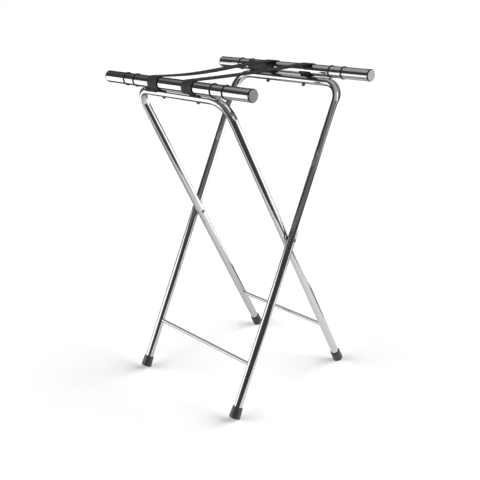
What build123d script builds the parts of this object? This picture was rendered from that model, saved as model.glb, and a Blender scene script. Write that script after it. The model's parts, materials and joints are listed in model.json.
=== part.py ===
from build123d import *
from math import asin, atan2, cos, degrees, hypot, radians, sin
import os

# Folding tray stand, open, standing on the floor. Millimetres, +Z up.
# The rails run along X, with left at -X. The front rail is on the -Y side.
# The inner frame carries the front rail and the outer frame the rear rail.
# The origin lies on the floor, in the middle between the four feet.

# Stance of the open stand
rail_axis_height = 772.0
rail_spacing = 368.0  # between the two rail axes
pivot_height = 403.0

# Bent frame tubes
leg_diameter = 20.0
leg_wall = 1.2
inner_leg_spacing = 317.0  # between the leg axes of the inner frame
bend_radius = 45.0  # to the tube's centre line

# Cross bars
bar_diameter = 9.0
bar_height = 122.5  # above the floor
bar_end_reach = 5.0  # past the inside face of each leg
bar_clearance = 0.05

# Top rails
rail_diameter = 28.0
rail_wall = 1.2
rail_length = 512.0

# Rail end caps
cap_flange = 3.0
cap_overhang = 0.3  # flange radius beyond the rail's
cap_edge_fillet = 2.5
cap_plug_length = 16.0
cap_plug_wall = 1.8
cap_clearance = 0.05

# Grip rings
ring_width = 4.0
ring_height = 1.8
ring_shoulder = 0.8  # straight side before the rounded crown
ring_clearance = 0.02
ring_inset = 78.0  # outer ring from the rail's end
ring_spacing = 39.0  # within a pair

# Straps
strap_width = 35.0
strap_thickness = 2.0
strap_clearance = 0.1
strap_spacing = 125.0  # between the straps' centre lines
left_strap_sag = 6.0  # middle of the span below the level of its ends
right_strap_sag = 1.0
strap_tail = 14.0  # past the screw
left_rear_tail = 31.8
spare_end_lap = 10.0  # of the left strap's spare ends onto its turns
front_spare_gap = 23.5  # from the spare end to the grip ring beside it
rear_spare_gap = 2.1
front_spare_edge = 151.0  # degrees round the run

# Rail screws
screw_diameter = 4.8
screw_head_diameter = 9.0
screw_head_height = 7.0
screw_head_rim = 3.0
recess_length = 5.0  # each bar of the cross-shaped driver recess
recess_width = 1.1
recess_depth = 1.4
screw_reach = 8.0  # past the rail's outside
screw_tip = 3.0
screw_hole_clearance = 0.2
screw_thread_clearance = 0.02

# Pivot rivets and the spacers between the crossing legs
rivet_diameter = 6.0
rivet_head_diameter = 9.6
rivet_head_height = 3.4
rivet_head_rim = 0.8
rivet_seat_clearance = 0.02
rivet_running_clearance = 0.06
spacer_diameter = 13.0
spacer_thickness = 1.0
side_clearance = 0.2  # on each side of the outer leg's wall

# Rubber feet
foot_wall = 2.5  # at the top
foot_flare = 1.5  # added to the radius at the bottom
foot_length = 28.0
foot_sole = 7.0  # rubber under the tube's end
foot_lip_fillet = 0.8
foot_edge_fillet = 1.6
foot_flat_depth = 0.9  # cut off level where the foot meets the floor
foot_clearance = 0.03

# Radii and places along X
rail_radius = rail_diameter / 2
leg_radius = leg_diameter / 2
bar_radius = bar_diameter / 2
screw_radius = screw_diameter / 2
rivet_radius = rivet_diameter / 2
leg_gap = spacer_thickness + 2 * side_clearance
inner_leg_x = inner_leg_spacing / 2
outer_leg_x = inner_leg_x + leg_diameter + leg_gap
strap_places = (-strap_spacing / 2, strap_spacing / 2)
outer_ring_x = rail_length / 2 - ring_inset
inner_ring_x = outer_ring_x - ring_spacing
ring_places = (-outer_ring_x, -inner_ring_x, inner_ring_x, outer_ring_x)

# Each frame is built upright with the pivot line at the origin, then leaned about that line
rail_rise = rail_axis_height - pivot_height
rail_reach = hypot(rail_spacing / 2, rail_rise)
lean = degrees(atan2(rail_spacing / 2, rail_rise))
lean_sin = sin(radians(lean))
lean_cos = cos(radians(lean))
bar_reach = (bar_height - pivot_height) / lean_cos

# The strap's end lies between the rail and the frame's top run
strap_layer = strap_thickness + 2 * strap_clearance
run_reach = rail_reach - rail_radius - strap_layer - leg_radius

# The leaning foot is lowest at its rounded edge, which goes under the floor by the depth of the flat
foot_top_radius = leg_radius + foot_clearance + foot_wall
foot_radius = foot_top_radius + foot_flare
foot_edge_drop = (foot_radius - foot_edge_fillet) * lean_sin + foot_edge_fillet * (1 - lean_cos)
foot_end = (foot_edge_drop - foot_flat_depth - pivot_height) / lean_cos
leg_end = foot_end + foot_sole


def leaned(shape, side):
    """Lean an upright piece about the pivot line: side is 1 for the inner frame, -1 for the outer."""
    return Pos(0, 0, pivot_height) * Rot(side * lean, 0, 0) * shape


def rod_along_x(start, end, height, radius):
    return Pos((start + end) / 2, 0, height) * Rot(0, 90, 0) * Cylinder(radius, end - start)


def rod_upward(x, start, end, radius):
    return Pos(x, 0, (start + end) / 2) * Cylinder(radius, end - start)


def turned(*edges):
    """Turn a closed outline, drawn as radius and height, about Z."""
    return revolve(Plane.XZ * make_face(edges), axis=Axis.Z)


def domed_head(diameter, height, rim):
    radius = diameter / 2
    return turned(
        Polyline((0, height), (0, 0), (radius, 0), (radius, rim)),
        TangentArc((0, height), (radius, rim), tangent=(1, 0)),
    )


def frame_tube(leg_x, rivet_clearance):
    """Upside-down U with holes for the rivets, the cross bar and the rail screws."""
    path = FilletPolyline(
        (-leg_x, 0, leg_end),
        (-leg_x, 0, run_reach),
        (leg_x, 0, run_reach),
        (leg_x, 0, leg_end),
        radius=bend_radius,
    )
    start = Plane(origin=path @ 0, z_dir=path % 0)
    skin = sweep(start * Circle(leg_radius), path=path)
    bore = sweep(start * Circle(leg_radius - leg_wall), path=path)
    tube = skin - bore
    past_leg = leg_x + leg_diameter
    tube -= rod_along_x(-past_leg, past_leg, 0, rivet_radius + rivet_clearance)
    tube -= rod_along_x(-leg_x, leg_x, bar_reach, bar_radius + bar_clearance)
    for x in strap_places:
        hole_radius = screw_radius + screw_hole_clearance
        tube -= rod_upward(x, run_reach - leg_diameter, run_reach + leg_diameter, hole_radius)
    return tube


def cross_bar(leg_x):
    half = leg_x - leg_radius + bar_end_reach
    return rod_along_x(-half, half, bar_reach, bar_radius)


def foot(x, side):
    """Tapered rubber ferrule over a leg's end, cut level where it stands on the floor."""
    body = Pos(0, 0, foot_end + foot_length / 2) * Cone(foot_radius, foot_top_radius, foot_length)
    body = fillet(body.edges().group_by(Axis.Z)[0], foot_edge_fillet)
    body -= rod_upward(0, leg_end, leg_end + foot_length, leg_radius + foot_clearance)
    body = fillet(body.edges().group_by(Axis.Z)[-1], foot_lip_fillet)
    standing = leaned(Pos(x, 0, 0) * body, side)
    floor_centre = Pos(x, 0, -foot_length / 2)
    return standing - floor_centre * Box(3 * foot_radius, 4 * pivot_height, foot_length)


def rail_tube():
    half = rail_length / 2
    tube = rod_along_x(-half, half, rail_reach, rail_radius)
    tube -= rod_along_x(-half, half, rail_reach, rail_radius - rail_wall)
    for x in strap_places:
        thread_radius = screw_radius + screw_thread_clearance
        tube -= rod_upward(x, rail_reach - rail_diameter, rail_reach, thread_radius)
    return tube


def rail_cap(end):
    """Flanged plug: end is -1 at a rail's left end and 1 at its right."""
    plug_radius = rail_radius - rail_wall - cap_clearance
    flange = Pos(0, 0, cap_flange / 2) * Cylinder(rail_radius + cap_overhang, cap_flange)
    flange = fillet(flange.edges().group_by(Axis.Z)[-1], cap_edge_fillet)
    plug = rod_upward(0, -cap_plug_length, 0, plug_radius)
    hollow = rod_upward(0, -cap_plug_length, 0, plug_radius - cap_plug_wall)
    cap = flange + (plug - hollow)
    return Pos(end * rail_length / 2, 0, rail_reach) * Rot(0, end * 90, 0) * cap


def grip_ring(x):
    seat = rail_radius + ring_clearance
    shoulder = seat + ring_shoulder
    half = ring_width / 2
    ring = turned(
        Polyline((shoulder, half), (seat, half), (seat, -half), (shoulder, -half)),
        ThreePointArc((shoulder, -half), (seat + ring_height, 0), (shoulder, half)),
    )
    return Pos(x, 0, rail_reach) * Rot(0, 90, 0) * ring


def rail_screws():
    """Domed screws with their heads under the top run and their points inside the rail."""
    head_seat = run_reach - leg_radius
    length = rail_reach - rail_radius + screw_reach - head_seat
    head = domed_head(screw_head_diameter, screw_head_height, screw_head_rim)
    for turn in (0, 90):
        recess = Rot(0, 0, turn) * Box(recess_length, recess_width, 2 * recess_depth)
        head -= Pos(0, 0, screw_head_height) * recess
    head = Rot(180, 0, 0) * head
    shank = rod_upward(0, 0, length - screw_tip, screw_radius)
    tip = Pos(0, 0, length - screw_tip / 2) * Cone(screw_radius, 0, screw_tip)
    screw = head + shank + tip
    return Compound(children=[Pos(x, 0, head_seat) * screw for x in strap_places])


def pivot_rivet(end):
    """Rivet through both crossing legs, with a domed head at each end."""
    inside = inner_leg_x - leg_radius
    outside = outer_leg_x + leg_radius + side_clearance
    head = domed_head(rivet_head_diameter, rivet_head_height, rivet_head_rim)
    rivet = rod_along_x(inside, outside, 0, rivet_radius)
    rivet += Pos(inside, 0, 0) * Rot(0, -90, 0) * head
    rivet += Pos(outside, 0, 0) * Rot(0, 90, 0) * head
    half_turn = 0 if end > 0 else 180
    return Pos(0, 0, pivot_height) * Rot(0, 0, half_turn) * rivet


def pivot_spacer(end):
    middle = inner_leg_x + leg_radius + leg_gap / 2
    washer = Cylinder(spacer_diameter / 2, spacer_thickness)
    washer -= Cylinder(rivet_radius + rivet_seat_clearance, spacer_thickness)
    return Pos(end * middle, 0, pivot_height) * Rot(0, 90, 0) * washer


def strap(x, sag, rear_tail):
    """Webbing over both rails: its ends turn round them and are held under them by the screws."""
    inside = rail_radius + strap_clearance
    outside = inside + strap_thickness
    half_span = rail_spacing / 2
    # The sagging span is an arc with its centre high above, tangent to the turns round the rails
    reach = (half_span**2 + sag**2) / (2 * sag)
    leave = degrees(asin(half_span / reach))
    sag_centre = (0, rail_axis_height + reach - sag)
    rail_centre = (-half_span, rail_axis_height)

    def turn(tail):
        wrap = 180 + leave + lean + degrees(tail / outside)
        arcs = [CenterArc(rail_centre, radius, 90 - leave, wrap) for radius in (inside, outside)]
        return [*arcs, Line(arcs[0] @ 1, arcs[1] @ 1)]

    span = [CenterArc(sag_centre, reach - radius, 270 - leave, 2 * leave) for radius in (inside, outside)]
    front = turn(strap_tail)
    rear = mirror(turn(rear_tail), about=Plane.YZ).edges()
    band = extrude(Plane.YZ * make_face([*front, *rear, *span]), amount=strap_width / 2, both=True)
    band = Pos(x, 0, 0) * band
    for side in (1, -1):
        band -= leaned(rod_upward(x, run_reach, rail_reach, screw_radius + strap_clearance), side)
    return band


def spare_end(start, end, axis_height, inside, edge, way):
    """Webbing turned aside to lie along X on a rail or run: its edge is an angle round the tube, and
    way is 1 or -1 for the way round that its width goes from there."""
    outside = inside + strap_thickness
    across = way * degrees(strap_width / (inside + strap_thickness / 2))
    faces = [CenterArc((0, axis_height), radius, edge, across) for radius in (inside, outside)]
    sides = [Line(faces[0] @ t, faces[1] @ t) for t in (0, 1)]
    return Pos(start, 0, 0) * extrude(Plane.YZ * make_face([*faces, *sides]), amount=end - start)


# One entry for each piece
nodes = {}
frames = (
    ("inner", "front", 1, inner_leg_x, rivet_seat_clearance),
    ("outer", "rear", -1, outer_leg_x, rivet_running_clearance),
)
ends = (("left", -1), ("right", 1))

for frame_name, rail_name, side, leg_x, rivet_clearance in frames:
    nodes[f"{frame_name}_frame_tube"] = leaned(frame_tube(leg_x, rivet_clearance), side)
    nodes[f"{frame_name}_cross_bar"] = leaned(cross_bar(leg_x), side)
    nodes[f"{rail_name}_rail_tube"] = leaned(rail_tube(), side)
    nodes[f"{rail_name}_rail_screws"] = leaned(rail_screws(), side)
    for end_name, end in ends:
        nodes[f"{frame_name}_foot_{end_name}"] = foot(end * leg_x, side)
        nodes[f"{rail_name}_rail_cap_{end_name}"] = leaned(rail_cap(end), side)
    for number, x in enumerate(ring_places, start=1):
        nodes[f"{rail_name}_rail_ring_{number}"] = leaned(grip_ring(x), side)

sags = (left_strap_sag, right_strap_sag)
rear_tails = (left_rear_tail, strap_tail)
for (end_name, end), strap_x, sag, rear_tail in zip(ends, strap_places, sags, rear_tails):
    nodes[f"pivot_rivet_{end_name}"] = pivot_rivet(end)
    nodes[f"pivot_spacer_{end_name}"] = pivot_spacer(end)
    nodes[f"strap_{end_name}"] = strap(strap_x, sag, rear_tail)

# The left strap is the longer one: its spare ends lie along the front run and the rear rail
ring_side = ring_width / 2 - inner_ring_x
lap_end = strap_places[0] - strap_width / 2 + spare_end_lap
on_run = leg_radius + strap_clearance
on_rail = rail_radius + strap_clearance
front_place = (ring_side + front_spare_gap, lap_end, run_reach, on_run)
rear_place = (ring_side + rear_spare_gap, lap_end, rail_reach, on_rail)
rear_spare_edge = 270 - degrees(left_rear_tail / (on_rail + strap_thickness))
nodes["strap_left"] += leaned(spare_end(*front_place, front_spare_edge, -1), 1)
nodes["strap_left"] += leaned(spare_end(*rear_place, rear_spare_edge, 1), -1)

os.makedirs("parts", exist_ok=True)
for name, shape in nodes.items():
    export_step(shape, f"parts/{name}.step")
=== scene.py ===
import json
import math
import bmesh
import bpy
from mathutils import Matrix, Vector


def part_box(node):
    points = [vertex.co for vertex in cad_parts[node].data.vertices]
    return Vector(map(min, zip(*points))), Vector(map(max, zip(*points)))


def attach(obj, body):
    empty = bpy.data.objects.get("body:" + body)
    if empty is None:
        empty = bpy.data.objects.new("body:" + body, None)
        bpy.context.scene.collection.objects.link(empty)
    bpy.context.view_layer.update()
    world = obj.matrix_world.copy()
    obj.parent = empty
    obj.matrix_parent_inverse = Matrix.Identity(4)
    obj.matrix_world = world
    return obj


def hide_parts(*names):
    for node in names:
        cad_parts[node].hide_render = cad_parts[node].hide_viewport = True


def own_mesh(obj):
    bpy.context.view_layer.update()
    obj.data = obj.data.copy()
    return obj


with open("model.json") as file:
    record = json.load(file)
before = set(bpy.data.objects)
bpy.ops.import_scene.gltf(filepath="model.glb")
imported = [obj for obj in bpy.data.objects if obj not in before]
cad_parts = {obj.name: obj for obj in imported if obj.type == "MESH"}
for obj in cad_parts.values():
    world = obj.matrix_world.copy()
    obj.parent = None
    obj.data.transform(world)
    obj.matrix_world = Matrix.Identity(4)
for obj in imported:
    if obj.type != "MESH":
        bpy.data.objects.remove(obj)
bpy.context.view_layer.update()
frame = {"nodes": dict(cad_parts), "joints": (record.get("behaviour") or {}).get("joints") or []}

# Folding tray stand, open, in metres. The rails run along X and the front rail is on the -Y side.


# Camera
# It stands off the stand's right front corner, a little above the rails, and looks down on them.
# Its place, angles and lens were fitted to the rails, legs, feet and cross bars in the photo.
camera_place = (1.35441, -1.20081, 1.00443)
camera_yaw = math.radians(48.519)
camera_pitch = math.radians(-19.639)
camera_roll = math.radians(-1.873)
camera_data = bpy.data.cameras.new("camera")
camera_data.sensor_width = 36
camera_data.lens = 56.397
camera = bpy.data.objects.new("camera", camera_data)
camera.matrix_world = (
    Matrix.Translation(camera_place)
    @ Matrix.Rotation(camera_yaw, 4, "Z")
    @ Matrix.Rotation(math.pi / 2 + camera_pitch, 4, "X")
    @ Matrix.Rotation(camera_roll, 4, "Z")
)
scene = bpy.context.scene
scene.view_settings.view_transform = "Standard"
scene.collection.objects.link(camera)
scene.camera = camera


# Studio
# A white paper floor, with a row of soft lamps behind on the right and one in front on the left.
# Plated steel shows the room, which is dark under a lit ceiling, so lit, grey and dark cards
# that only reflections see stand round the stand and lie on the floor.
floor_size = 60.0
floor_white = "#ececec"
floor_pale = "#f0f0f0"
floor_glow = 0.05  # light of its own that lifts the paper to white
paper_cloud = 1 / 3  # metres across


def linear(hex_colour):
    """An sRGB hex colour as the linear values that a shader takes."""
    values = [int(hex_colour[i:i + 2], 16) / 255 for i in (1, 3, 5)]
    return [v / 12.92 if v <= 0.04045 else ((v + 0.055) / 1.055) ** 2.4 for v in values] + [1.0]


def add(tree, kind, inputs=None, **settings):
    """A node with its settings; an input is a value or the output that feeds it.
    A Mix of two colours takes them at inputs 6 and 7 and gives the result at output 2."""
    node = tree.nodes.new(kind)
    for name, value in settings.items():
        setattr(node, name, value)
    for socket, value in (inputs or {}).items():
        if isinstance(value, bpy.types.NodeSocket):
            tree.links.new(value, node.inputs[socket])
        else:
            node.inputs[socket].default_value = value
    return node


def start_material(name):
    """A material with an empty node tree."""
    material = bpy.data.materials.new(name)
    material.use_nodes = True
    material.node_tree.nodes.clear()
    return material


def new_object(name, bm, material):
    """An object at the origin from a bmesh, which it frees."""
    mesh = bpy.data.meshes.new(name)
    bm.to_mesh(mesh)
    bm.free()
    mesh.materials.append(material)
    made = bpy.data.objects.new(name, mesh)
    scene.collection.objects.link(made)
    return made


# Matt paper: even, without gloss, and with faint fibre clouds.
# What the camera sees of it, in a reflection or through glass too, is lifted to white.
paper = start_material("matt_white_paper")
tree = paper.node_tree
place = add(tree, "ShaderNodeTexCoord").outputs["Object"]
clouds = add(tree, "ShaderNodeTexNoise", {"Vector": place, "Scale": 1 / paper_cloud, "Detail": 3.0})
tone = add(tree, "ShaderNodeMix", {0: clouds.outputs["Fac"], 6: linear(floor_white), 7: linear(floor_pale)},
           data_type="RGBA")
matt = add(tree, "ShaderNodeBsdfDiffuse", {"Color": tone.outputs[2]})
glow = add(tree, "ShaderNodeEmission", {"Strength": floor_glow})
lifted = add(tree, "ShaderNodeAddShader", {0: matt.outputs[0], 1: glow.outputs[0]})
ray = add(tree, "ShaderNodeLightPath")
mirrored = add(tree, "ShaderNodeMath", {0: ray.outputs["Is Camera Ray"], 1: ray.outputs["Is Glossy Ray"]},
               operation="MAXIMUM")
seen = add(tree, "ShaderNodeMath", {0: mirrored.outputs[0], 1: ray.outputs["Is Transmission Ray"]},
           operation="MAXIMUM")
shown = add(tree, "ShaderNodeMixShader", {0: seen.outputs[0], 1: matt.outputs[0], 2: lifted.outputs[0]})
add(tree, "ShaderNodeOutputMaterial", {"Surface": shown.outputs[0]})

bm = bmesh.new()
bmesh.ops.create_grid(bm, x_segments=1, y_segments=1, size=floor_size / 2)
floor = new_object("paper_floor", bm, paper)


def studio_card(name, strengths, corner, along, across):
    """A flat card that only reflections see, from a corner and two sides.
    Its light goes from the first strength to the second along the first side."""
    board = start_material(name)
    tree = board.node_tree
    place = add(tree, "ShaderNodeTexCoord").outputs["Object"]
    reach = Vector(along) / Vector(along).length_squared
    gone = add(tree, "ShaderNodeVectorMath", {0: place, 1: reach}, operation="DOT_PRODUCT").outputs["Value"]
    start = reach.dot(Vector(corner))
    glow = add(tree, "ShaderNodeMapRange", {"Value": gone, "From Min": start, "From Max": start + 1,
               "To Min": strengths[0], "To Max": strengths[1]})
    light = add(tree, "ShaderNodeEmission", {"Strength": glow.outputs[0]})
    add(tree, "ShaderNodeOutputMaterial", {"Surface": light.outputs[0]})
    bm = bmesh.new()
    side = [bm.verts.new(corner), bm.verts.new(Vector(corner) + Vector(along))]
    edge = bm.edges.new(side)
    drawn = bmesh.ops.extrude_edge_only(bm, edges=[edge])["geom"]
    bmesh.ops.translate(bm, vec=across, verts=[v for v in drawn if isinstance(v, bmesh.types.BMVert)])
    card = new_object(name, bm, board)
    card.visible_camera = False
    card.visible_diffuse = False
    card.visible_shadow = False
    card.visible_transmission = False


# The light of a plain card at its first and last end, where 1 is white.
dark = (0.1, 0.1)
grey = (0.5, 0.5)
lit = (1.7, 1.7)
bright = (1.9, 1.9)
# On the camera's side, a dark flag, a grey one that goes on from it, and a grey card for a rail cap.
studio_card("dark_flag", (0.06, 0.08), (0.012, -0.556, 0), (1.05, 0.795, 0), (0, 0, 0.55))
studio_card("grey_flag_end", (0.45, 0.9), (1.062, 0.239, 0), (0.42, 0.51, 0), (0, 0, 0.75))
studio_card("grey_card_right", grey, (0.5, -0.06, 0.64), (0, 0.2, 0), (0, 0, 0.2))
# A lit panel in front on the left, and a strip above on the right for the rails as seen from the left.
studio_card("lit_panel", lit, (-1.28, -0.784, 0), (1.12, -0.706, 0), (0, 0, 0.85))
studio_card("lit_strip_right", bright, (1.4, -0.2, 1.2), (0, 0.4, 0), (-0.7, 0, 0.5))
# Cards on the floor: lit in front and behind, shaded under the stand and dark round it.
# Where two of them overlap, the one that shows lies a millimetre or two higher.
studio_card("lit_floor_front", lit, (-2.6, -1.25, 0.003), (1.8, -0.6, 0), (0, 1.36, 0))
studio_card("lit_floor_back", bright, (-0.3, 0.9, 0.002), (28.0, 0, 0), (0, 28.0, 0))
studio_card("shaded_floor", (0.2, 1.1), (-1.1, -0.9, 0.001), (1.6, 0, 0), (0, 1.9, 0))
studio_card("dark_floor_right", dark, (0.55, -0.9, 0.002), (1.9, 0, 0), (0, 1.12, 0))
studio_card("dark_floor_front", dark, (-0.1, -12.9, 0.002), (9.0, 0, 0), (0, 12.0, 0))
studio_card("dark_floor_left", dark, (-3.0, -0.4, 0.002), (2.25, 0, 0), (0, 1.4, 0))
studio_card("dark_floor_back", dark, (-3.0, 1.0, 0.002), (2.65, 0, 0), (0, 1.75, 0))
# A low strip behind the stand, and dark cloth further off on the left and behind.
studio_card("dark_strip_back", (0.3, 0.08), (0.5, 0.56, 0), (-0.8, 0.12, 0), (0, 0, 0.12))
studio_card("dark_cloth_left", dark, (-2.54, -1.0, 0), (-0.28, 2.03, 0), (0, 0, 1.3))
studio_card("dark_cloth_back", dark, (-2.82, 1.03, 0), (0.6, 1.1, 0), (0, 0, 1.3))

lamp_rows = (("back_right", 5.6, 53), ("front_left", 3.9, 238))  # strength and heading of each row
lamps_in_row = 5
lamp_step = 15  # degrees between the lamps in a row
lamp_softness = math.radians(20)
lamp_height = math.radians(22)
for side, strength, heading in lamp_rows:
    for i in range(lamps_in_row):
        lamp_data = bpy.data.lights.new(f"lamp_{side}_{i + 1}", "SUN")
        lamp_data.energy = strength / lamps_in_row
        lamp_data.angle = lamp_softness
        lamp = bpy.data.objects.new(lamp_data.name, lamp_data)
        turn = math.radians(heading + (i - (lamps_in_row - 1) / 2) * lamp_step)
        lamp.rotation_euler = (0, math.pi / 2 - lamp_height, turn)
        lamp.visible_glossy = False
        scene.collection.objects.link(lamp)

# The room: white to the camera, dark under a lit ceiling in reflections, and a faint fill for the rest.
white = linear("#ffffff")
sky_fill = 0.06
room_dark = 0.06
ceiling_light = 0.5
ceiling_start = math.sin(math.radians(30))
ceiling_full = math.sin(math.radians(47))
camera_side = Vector((0.62, -0.62, 0.48)).normalized()
camera_side_glow = 0.12
glow_start = 0.55  # cosine of the angle from the camera's side
glow_full = 0.95
world = bpy.data.worlds.new("studio_room")
world.use_nodes = True
scene.world = world
tree = world.node_tree
tree.nodes.clear()
ray = add(tree, "ShaderNodeLightPath")
direction = add(tree, "ShaderNodeTexCoord").outputs["Generated"]
height = add(tree, "ShaderNodeSeparateXYZ", {0: direction}).outputs["Z"]
ceiling = add(tree, "ShaderNodeMapRange", {"Value": height, "From Min": ceiling_start,
              "From Max": ceiling_full, "To Min": room_dark, "To Max": ceiling_light},
              interpolation_type="SMOOTHSTEP")
toward_camera = add(tree, "ShaderNodeVectorMath", {0: direction, 1: camera_side}, operation="DOT_PRODUCT")
wall = add(tree, "ShaderNodeMapRange", {"Value": toward_camera.outputs["Value"], "From Min": glow_start,
           "From Max": glow_full, "To Max": camera_side_glow}, interpolation_type="SMOOTHSTEP")
room_light = add(tree, "ShaderNodeMath", {0: ceiling.outputs[0], 1: wall.outputs[0]})
room = add(tree, "ShaderNodeBackground", {"Color": white, "Strength": room_light.outputs[0]})
backdrop = add(tree, "ShaderNodeBackground", {"Color": white, "Strength": 1.0})
fill = add(tree, "ShaderNodeBackground", {"Color": white, "Strength": sky_fill})
unlit = add(tree, "ShaderNodeMixShader", {0: ray.outputs["Is Glossy Ray"], 1: fill.outputs[0],
            2: room.outputs[0]})
seen = add(tree, "ShaderNodeMath", {0: ray.outputs["Is Camera Ray"], 1: ray.outputs["Is Transmission Ray"]},
           operation="MAXIMUM")
around = add(tree, "ShaderNodeMixShader", {0: seen.outputs[0], 1: unlit.outputs[0], 2: backdrop.outputs[0]})
add(tree, "ShaderNodeOutputWorld", {"Surface": around.outputs[0]})


# Bent frame tubes
# Two upside-down U frames of 20 mm steel tube, bent on a mandrel, polished and chrome plated.
# The legs lean opposite ways and cross at the pivots. Polishing lines run along the tube.
mm = 0.001
chrome_colour = "#c9cbcc"
chrome_pale = "#d3d4d4"
chrome_clean = 0.05  # roughness of clean plating
chrome_hazy = 0.13  # roughness of a handling mark
polish_line = 2.5 * mm
polish_relief = 0.02 * mm
handling_mark = 35 * mm
line_draw = 0.02  # a line's width as a share of its length
nodes = frame["nodes"]
joint = next(j for j in frame["joints"] if j["name"] == "fold")
pivot = Vector(joint["pos_m"])
front_low, front_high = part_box("front_rail_tube")
front_axis = (front_low + front_high) / 2
lean = math.atan2(-(front_axis - pivot).y, (front_axis - pivot).z)


def dress(material, words):
    """Gives a finish to each CAD piece that has these words in its name."""
    for name, node in nodes.items():
        if words in name:
            node.data.materials.clear()
            node.data.materials.append(material)


# Chrome over polished steel: a mirror with faint lines along the tube and hazy handling marks.
# The lines are drawn 2.5 mm apart, coarser than real ones, so that they show.
def chrome(name, turn, stretch, colour=chrome_colour, pale=chrome_pale, clean=chrome_clean, hazy=chrome_hazy):
    """Plating whose lines are turned about X and then drawn out along one axis."""
    material = start_material(name)
    tree = material.node_tree
    place = add(tree, "ShaderNodeTexCoord").outputs["Object"]
    turned = add(tree, "ShaderNodeMapping", {"Vector": place, "Rotation": (turn, 0, 0)})
    drawn_out = add(tree, "ShaderNodeMapping", {"Vector": turned.outputs[0], "Scale": stretch})
    lines = add(tree, "ShaderNodeTexNoise", {"Vector": drawn_out.outputs[0], "Scale": 1 / polish_line,
                "Detail": 2.0})
    marks = add(tree, "ShaderNodeTexNoise", {"Vector": place, "Scale": 1 / handling_mark, "Detail": 4.0})
    haze = add(tree, "ShaderNodeMapRange", {"Value": marks.outputs["Fac"], "From Min": 0.4, "From Max": 0.75,
               "To Min": clean, "To Max": hazy})
    tint = add(tree, "ShaderNodeMix", {0: lines.outputs["Fac"], 6: linear(colour), 7: linear(pale)},
               data_type="RGBA")
    relief = add(tree, "ShaderNodeBump", {"Height": lines.outputs["Fac"], "Strength": 0.25,
                 "Distance": polish_relief})
    surface = add(tree, "ShaderNodeBsdfPrincipled", {"Base Color": tint.outputs[2], "Metallic": 1.0,
                  "Roughness": haze.outputs[0], "Normal": relief.outputs[0]})
    add(tree, "ShaderNodeOutputMaterial", {"Surface": surface.outputs[0]})
    return material


along_leg = (1, 1, line_draw)
dress(chrome("chromed_tube_inner", -lean, along_leg), "inner_frame_tube")
dress(chrome("chromed_tube_outer", lean, along_leg), "outer_frame_tube")


# Cross bars
# Thin steel rods pushed into the legs low down and welded there, to keep the legs apart.
# They are plated with the frames, so the chrome is the same, with its lines along the rod.
along_x = (line_draw, 1, 1)
dress(chrome("chromed_rod", 0, along_x), "cross_bar")


# Top rails
# Larger steel tubes that lie on the frames' top runs, are screwed on from below and carry the tray.
# They are polished and plated like the frames, so the chrome is the same, with its lines along the rail.
dress(chrome("chromed_rail", 0, along_x), "rail_tube")


# Rail end caps
# Moulded plugs with a rounded flange, pushed into the rails' ends.
# They are plated to match the rails, over a fine grain that leaves a satin face.
satin_colour = "#888989"
satin_pale = "#929393"
satin_clean = 0.25
satin_hazy = 0.35
satin_metallic = 0.7
# Painted shade on the caps' rounded rim: its colour, and how far back from the face it fades in.
painted_rim_shade = "#1e1f1f"
rim_depth = 0.6 * mm  # from the face back to where the rim is darkest
rim_start = 0.075 * mm  # from the face back to where the rim starts to darken
every_way = (1, 1, 1)
cap_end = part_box("front_rail_cap_right")[1].x
# Satin chrome: it scatters about a third of the light, so a face is grey from any side.
# The rounded rim is painted darker than the face: painted shade along the rim.
satin_chrome = chrome("satin_chrome", 0, every_way, satin_colour, satin_pale, satin_clean, satin_hazy)
tree = satin_chrome.node_tree
surface = tree.nodes["Principled BSDF"]
surface.inputs["Metallic"].default_value = satin_metallic
place = add(tree, "ShaderNodeTexCoord").outputs["Object"]
rail_place = add(tree, "ShaderNodeSeparateXYZ", {0: place}).outputs["X"]
from_middle = add(tree, "ShaderNodeMath", {0: rail_place}, operation="ABSOLUTE")
# Back from the face, the rim takes the painted shade; the face keeps its own tint.
on_face = add(tree, "ShaderNodeMapRange", {"Value": from_middle.outputs[0], "From Min": cap_end - rim_depth,
              "From Max": cap_end - rim_start})
face_tint = surface.inputs["Base Color"].links[0].from_socket
rim_shade_mix = add(tree, "ShaderNodeMix", {0: on_face.outputs[0], 6: linear(painted_rim_shade), 7: face_tint},
              data_type="RGBA")
tree.links.new(rim_shade_mix.outputs[2], surface.inputs["Base Color"])
dress(satin_chrome, "rail_cap")


# Grip rings
# Black rubber rings, moulded and stretched round the rails, two near each end.
# They keep the tray from sliding.
tone_cloud = 12 * mm
gloss_change = 0.08  # from the grain's tops to its pits


def dull_skin(name, colour, pale, roughness, grain, depth):
    """Rubber, nylon or blackened steel: faint clouds of tone, a fine grain and a soft gloss."""
    material = start_material(name)
    tree = material.node_tree
    place = add(tree, "ShaderNodeTexCoord").outputs["Object"]
    clouds = add(tree, "ShaderNodeTexNoise", {"Vector": place, "Scale": 1 / tone_cloud, "Detail": 3.0})
    pits = add(tree, "ShaderNodeTexNoise", {"Vector": place, "Scale": 1 / grain, "Detail": 2.0})
    tone = add(tree, "ShaderNodeMix", {0: clouds.outputs["Fac"], 6: linear(colour), 7: linear(pale)},
               data_type="RGBA")
    gloss = add(tree, "ShaderNodeMapRange", {"Value": pits.outputs["Fac"], "To Min": roughness - gloss_change,
                "To Max": roughness + gloss_change})
    relief = add(tree, "ShaderNodeBump", {"Height": pits.outputs["Fac"], "Strength": 0.4, "Distance": depth})
    surface = add(tree, "ShaderNodeBsdfPrincipled", {"Base Color": tone.outputs[2], "IOR": 1.5,
                  "Roughness": gloss.outputs[0], "Normal": relief.outputs[0]})
    add(tree, "ShaderNodeOutputMaterial", {"Surface": surface.outputs[0]})
    return material


# Moulded rubber: nearly black, with a dull even shine.
ring_rubber = dull_skin("ring_rubber", "#161616", "#222222", roughness=0.5, grain=0.6 * mm, depth=0.04 * mm)
dress(ring_rubber, "rail_ring")


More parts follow.
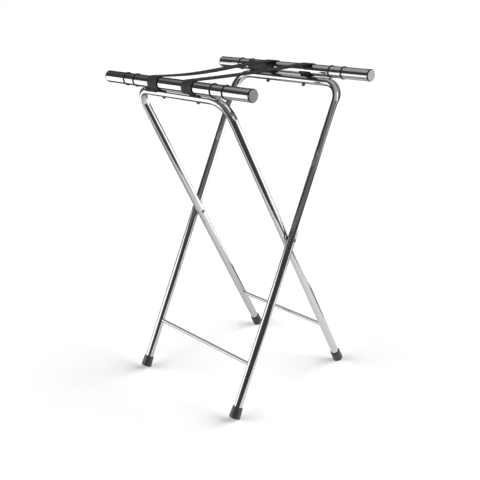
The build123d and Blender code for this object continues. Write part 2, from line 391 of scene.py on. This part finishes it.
# Feet
# Tapered ferrules moulded in charcoal rubber and pushed over the leg ends.
# A small flat under each one stands on the floor.
# Harder rubber than the rings: greyer, and glossy enough to show a soft light along the taper.
foot_rubber = dull_skin("foot_rubber", "#222222", "#3f3f3f", roughness=0.2, grain=1.2 * mm, depth=0.05 * mm)
dress(foot_rubber, "foot")


# Rivets, spacers and screws
# Plated steel rivets with domed heads join the crossing legs, with a black nylon washer between them.
# Blackened steel screws hold each rail and the straps' ends to the top run.
rivet_colour = "#aaabac"
rivet_pale = "#b6b7b7"
rivet_clean = 0.15
rivet_hazy = 0.25
# Plain plating on a pressed head: like the frames' chrome, but darker and hazier.
dress(chrome("plated_rivet", 0, every_way, rivet_colour, rivet_pale, rivet_clean, rivet_hazy), "pivot_rivet")
# Moulded nylon: nearly black and as dull as the rings.
nylon = dull_skin("black_nylon", "#1a1a1a", "#242424", roughness=0.5, grain=0.7 * mm, depth=0.03 * mm)
dress(nylon, "pivot_spacer")
# Blackened steel: an oily dark grey with a low shine.
steel = dull_skin("blackened_steel", "#3c3c3c", "#505050", roughness=0.4, grain=0.5 * mm, depth=0.03 * mm)
dress(steel, "rail_screws")


# Straps
# Black webbing, woven with ribs along its length. Each strap goes over both rails, round their
# outer sides and under them, where the rail screws pinch its ends against the top run.
# The left strap is longer: its spare ends are turned aside along the front run and the rear rail.
ends = ("left", "right")
rear_low, rear_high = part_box("rear_rail_tube")
rear_axis = (rear_low + rear_high) / 2
half_span = rear_axis.y
rail_radius = (front_high.z - front_low.z) / 2
leg_radius = 10 * mm
strap_low, strap_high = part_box("strap_right")
strap_width = strap_high.x - strap_low.x
strap_outside = strap_high.z - front_axis.z
strap_thickness = 2 * mm
strap_middle = strap_outside - strap_thickness / 2  # radius of the middle of its thickness, round a rail
strap_sags = {"left": 5 * mm, "right": 2.5 * mm}
strap_skews = {"left": 2.2 * mm, "right": 0}  # more sag in the front half and less in the rear half
strap_twists = {"left": 0.2 * mm, "right": 0}  # right edge down and left edge up, in mid span
strap_tail = 14 * mm  # past the screw
rear_tails = {"left": 31.8 * mm, "right": strap_tail}
front_spare_gap = 23.5 * mm  # to the grip ring beside the spare end
front_spare_edge = math.radians(151)  # round the run, before the frame leans
front_spare_lap = 10 * mm  # under the turn
rib_pitch = 2.5 * mm
rib_height = 0.15 * mm
rib_points = 4  # across one rib
turn_steps = 40
span_steps = 60
angle_slack = 0.1  # keeps the start of a bend from counting as a whole turn
thread_pitch = 6 * mm
thread_relief = 0.2 * mm
faded_patch = 9 * mm
selvedge_width = 3 * mm
selvedge_solid = 1 * mm  # the part of it that is fully dark
yarn_dark = "#0b0b0c"
yarn_pale = "#474748"
selvedge_colour = "#202020"

# Woven polypropylene: dull black yarn, with painted light on the threads' tops and painted shade between
# them.
# The selvedges, where the threads turn back, are packed tight and look a little darker.
# The crossing threads are drawn 6 mm apart, coarser than real ones, so that they show.
web = start_material("black_webbing")
tree = web.node_tree
weave_place = add(tree, "ShaderNodeUVMap", uv_map="weave").outputs[0]
split = add(tree, "ShaderNodeSeparateXYZ", {0: weave_place})
thread_turn = 2 * math.pi / thread_pitch
warp = add(tree, "ShaderNodeMath", {0: split.outputs["X"], 1: thread_turn}, operation="MULTIPLY")
weft = add(tree, "ShaderNodeMath", {0: split.outputs["Y"], 1: thread_turn}, operation="MULTIPLY")
warp_wave = add(tree, "ShaderNodeMath", {0: warp.outputs[0]}, operation="COSINE")
weft_wave = add(tree, "ShaderNodeMath", {0: weft.outputs[0]}, operation="COSINE")
thread_height = add(tree, "ShaderNodeMath", {0: warp_wave.outputs[0], 1: weft_wave.outputs[0]},
                    operation="MULTIPLY")
# Painted light and shade on the weave: lighter on the threads' tops, darker between them.
thread_light_and_shade = add(tree, "ShaderNodeMapRange", {"Value": thread_height.outputs[0], "From Min": -1.0})
# Random patches of lighter and darker yarn, the webbing's own tone.
patches = add(tree, "ShaderNodeTexNoise", {"Vector": weave_place, "Scale": 1 / faded_patch, "Detail": 2.0})
patch_tone = add(tree, "ShaderNodeMapRange", {"Value": patches.outputs["Fac"], "From Min": 0.2,
                 "From Max": 0.8})
both_tones = add(tree, "ShaderNodeMath", {0: thread_light_and_shade.outputs[0], 1: patch_tone.outputs[0]})
yarn_share = add(tree, "ShaderNodeMath", {0: both_tones.outputs[0], 1: 2.0}, operation="DIVIDE")
yarn = add(tree, "ShaderNodeMix", {0: yarn_share.outputs[0], 6: linear(yarn_dark), 7: linear(yarn_pale)},
           data_type="RGBA")
from_middle = add(tree, "ShaderNodeMath", {0: split.outputs["X"]}, operation="ABSOLUTE")
selvedge = add(tree, "ShaderNodeMapRange", {"Value": from_middle.outputs[0],
               "From Min": strap_width / 2 - selvedge_width, "From Max": strap_width / 2 - selvedge_solid})
edged = add(tree, "ShaderNodeMix", {0: selvedge.outputs[0], 6: yarn.outputs[2], 7: linear(selvedge_colour)},
            data_type="RGBA")
relief = add(tree, "ShaderNodeBump", {"Height": thread_height.outputs[0], "Strength": 0.6,
             "Distance": thread_relief})
surface = add(tree, "ShaderNodeBsdfPrincipled", {"Base Color": edged.outputs[2], "Roughness": 0.7,
              "IOR": 1.49, "Specular IOR Level": 0.1, "Normal": relief.outputs[0]})
add(tree, "ShaderNodeOutputMaterial", {"Surface": surface.outputs[0]})


def webbing(name, low_x, high_x, centre, reach, start, angle, steps, lengthwise=True):
    """Webbing bent round an axis along X: its cross-section is spun from the start angle.
    If it goes round lengthwise its ribs follow the bend. A spare end lies along X and is smooth."""
    width = high_x - low_x
    middle_x = (low_x + high_x) / 2
    bm = bmesh.new()
    bmesh.ops.create_grid(bm, x_segments=round(width / rib_pitch * rib_points), y_segments=1, size=width / 2)
    bmesh.ops.dissolve_faces(bm, faces=bm.faces)
    bmesh.ops.scale(bm, vec=(1, strap_thickness / width, 1), verts=bm.verts)
    if lengthwise:
        for v in bm.verts:
            v.co.y -= math.copysign(rib_height, v.co.y) * math.sin(math.pi * v.co.x / rib_pitch) ** 2
    upright = Matrix.Rotation(math.pi / 2, 4, "X")
    bm.transform(Matrix.Translation((0, 0, reach)) @ upright)
    bm.transform(Matrix.Rotation(start - math.pi / 2, 4, "X"))
    bm.transform(Matrix.Translation((middle_x, centre.y, centre.z)))
    bmesh.ops.spin(bm, geom=bm.verts[:] + bm.edges[:] + bm.faces[:], cent=centre, axis=(1, 0, 0), angle=angle,
                   steps=steps, use_duplicate=False)
    bmesh.ops.recalc_face_normals(bm, faces=bm.faces)
    weave = bm.loops.layers.uv.new("weave")
    for face in bm.faces:
        for loop in face.loops:
            y = loop.vert.co.y - centre.y
            z = loop.vert.co.z - centre.z
            turned = (math.atan2(z, y) - start) * math.copysign(1, angle)
            gone = ((turned + angle_slack) % (2 * math.pi) - angle_slack) * reach
            beside = loop.vert.co.x - middle_x
            loop[weave].uv = (beside, gone) if lengthwise else (gone - strap_width / 2, beside)
    return new_object(name, bm, web)


def settle(span, middle_x, skew, twist):
    """Lets a span hang unevenly between the rails, as slack webbing does."""
    for v in span.data.vertices:
        gone = (v.co.y + half_span) / (2 * half_span)
        beside = (v.co.x - middle_x) / (strap_width / 2)
        v.co.z -= skew * math.sin(2 * math.pi * gone) + twist * beside * math.sin(math.pi * gone)


# The left strap's spare ends: one lies round the front run, and one round the rear rail.
strap_clearance = strap_outside - strap_thickness - rail_radius
rail_to_run = rail_radius + strap_thickness + 2 * strap_clearance + leg_radius
front_run = front_axis + rail_to_run * (pivot - front_axis).normalized()
on_run = leg_radius + strap_clearance + strap_thickness / 2
left_low, left_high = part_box("strap_left")
left_edge = left_high.x - strap_width
front_spare_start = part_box("front_rail_ring_2")[1].x + front_spare_gap
front_spare_end = left_edge + front_spare_lap
front_spare = webbing("strap_left_front_spare_end", front_spare_start, front_spare_end, front_run, on_run,
                      front_spare_edge + lean, -strap_width / on_run, turn_steps, lengthwise=False)
rear_spare_edge = 3 * math.pi / 2 - lean - rear_tails["left"] / strap_outside
rear_spare = webbing("strap_left_rear_spare_end", left_low.x, left_edge, rear_axis, strap_middle,
                     rear_spare_edge, strap_width / strap_middle, turn_steps, lengthwise=False)
spare_ends = (
    (front_spare, front_spare_end - front_spare_start, "inner_frame", "inner_frame_tube"),
    (rear_spare, left_edge - left_low.x, "outer_frame", "rear_rail_tube"),
)
for spare, length, body, tube in spare_ends:
    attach(spare, body)

# Each strap has a turn round each rail and a span between them, on an arc that touches both rails.
# The span is fixed at the front rail.
for end in ends:
    high_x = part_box(f"strap_{end}")[1].x
    low_x = high_x - strap_width
    sag = strap_sags[end]
    sag_reach = (half_span**2 + sag**2) / (2 * sag)
    leave = math.asin(half_span / sag_reach)
    sag_centre = Vector((0, 0, front_axis.z + sag_reach - sag))
    span_middle = sag_reach - strap_middle
    turn_angles = [math.pi + leave + lean + tail / strap_outside for tail in (strap_tail, rear_tails[end])]
    from_front = math.pi / 2 - leave
    from_rear = math.pi / 2 + leave
    front_turn = webbing(f"strap_{end}_front_turn", low_x, high_x, front_axis, strap_middle, from_front,
                         turn_angles[0], turn_steps)
    rear_turn = webbing(f"strap_{end}_rear_turn", low_x, high_x, rear_axis, strap_middle, from_rear,
                        -turn_angles[1], turn_steps)
    span = webbing(f"strap_{end}_span", low_x, high_x, sag_centre, span_middle, 3 * math.pi / 2 - leave,
                   2 * leave, span_steps)
    settle(span, (low_x + high_x) / 2, strap_skews[end], strap_twists[end])
    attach(front_turn, "inner_frame")
    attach(rear_turn, "outer_frame")
    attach(span, "inner_frame")
    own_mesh(span)
    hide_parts(f"strap_{end}")
